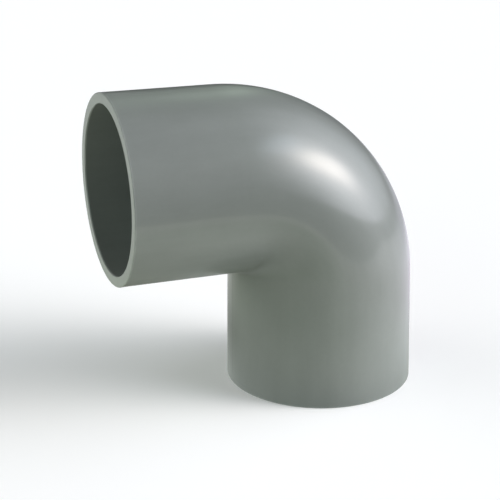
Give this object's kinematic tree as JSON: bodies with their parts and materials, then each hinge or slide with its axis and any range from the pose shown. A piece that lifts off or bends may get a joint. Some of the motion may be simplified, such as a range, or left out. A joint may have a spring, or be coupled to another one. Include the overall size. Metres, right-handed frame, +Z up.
{
  "type": "pvc conduit elbow",
  "caption": "Rigid grey PVC elbow that turns electrical conduit through 90 degrees, moulded in one piece, with a plain solvent-weld socket and stop shoulder at each end.",
  "frame": {"origin": "centre of the lower socket's mouth, on the plane of its end face, where the elbow stands", "axes": "+Z up along the lower leg's axis; the side leg's axis crosses it at Z = 67 mm and opens towards -X; the plane Y = 0 is the elbow's plane of symmetry"},
  "size_m": [0.0955, 0.057, 0.0955],
  "materials": {
    "grey_pvc": "satin gloss, injection moulded"
  },
  "bodies": {
    "root": {"elbow_body": "grey_pvc"}
  },
  "joints": []
}
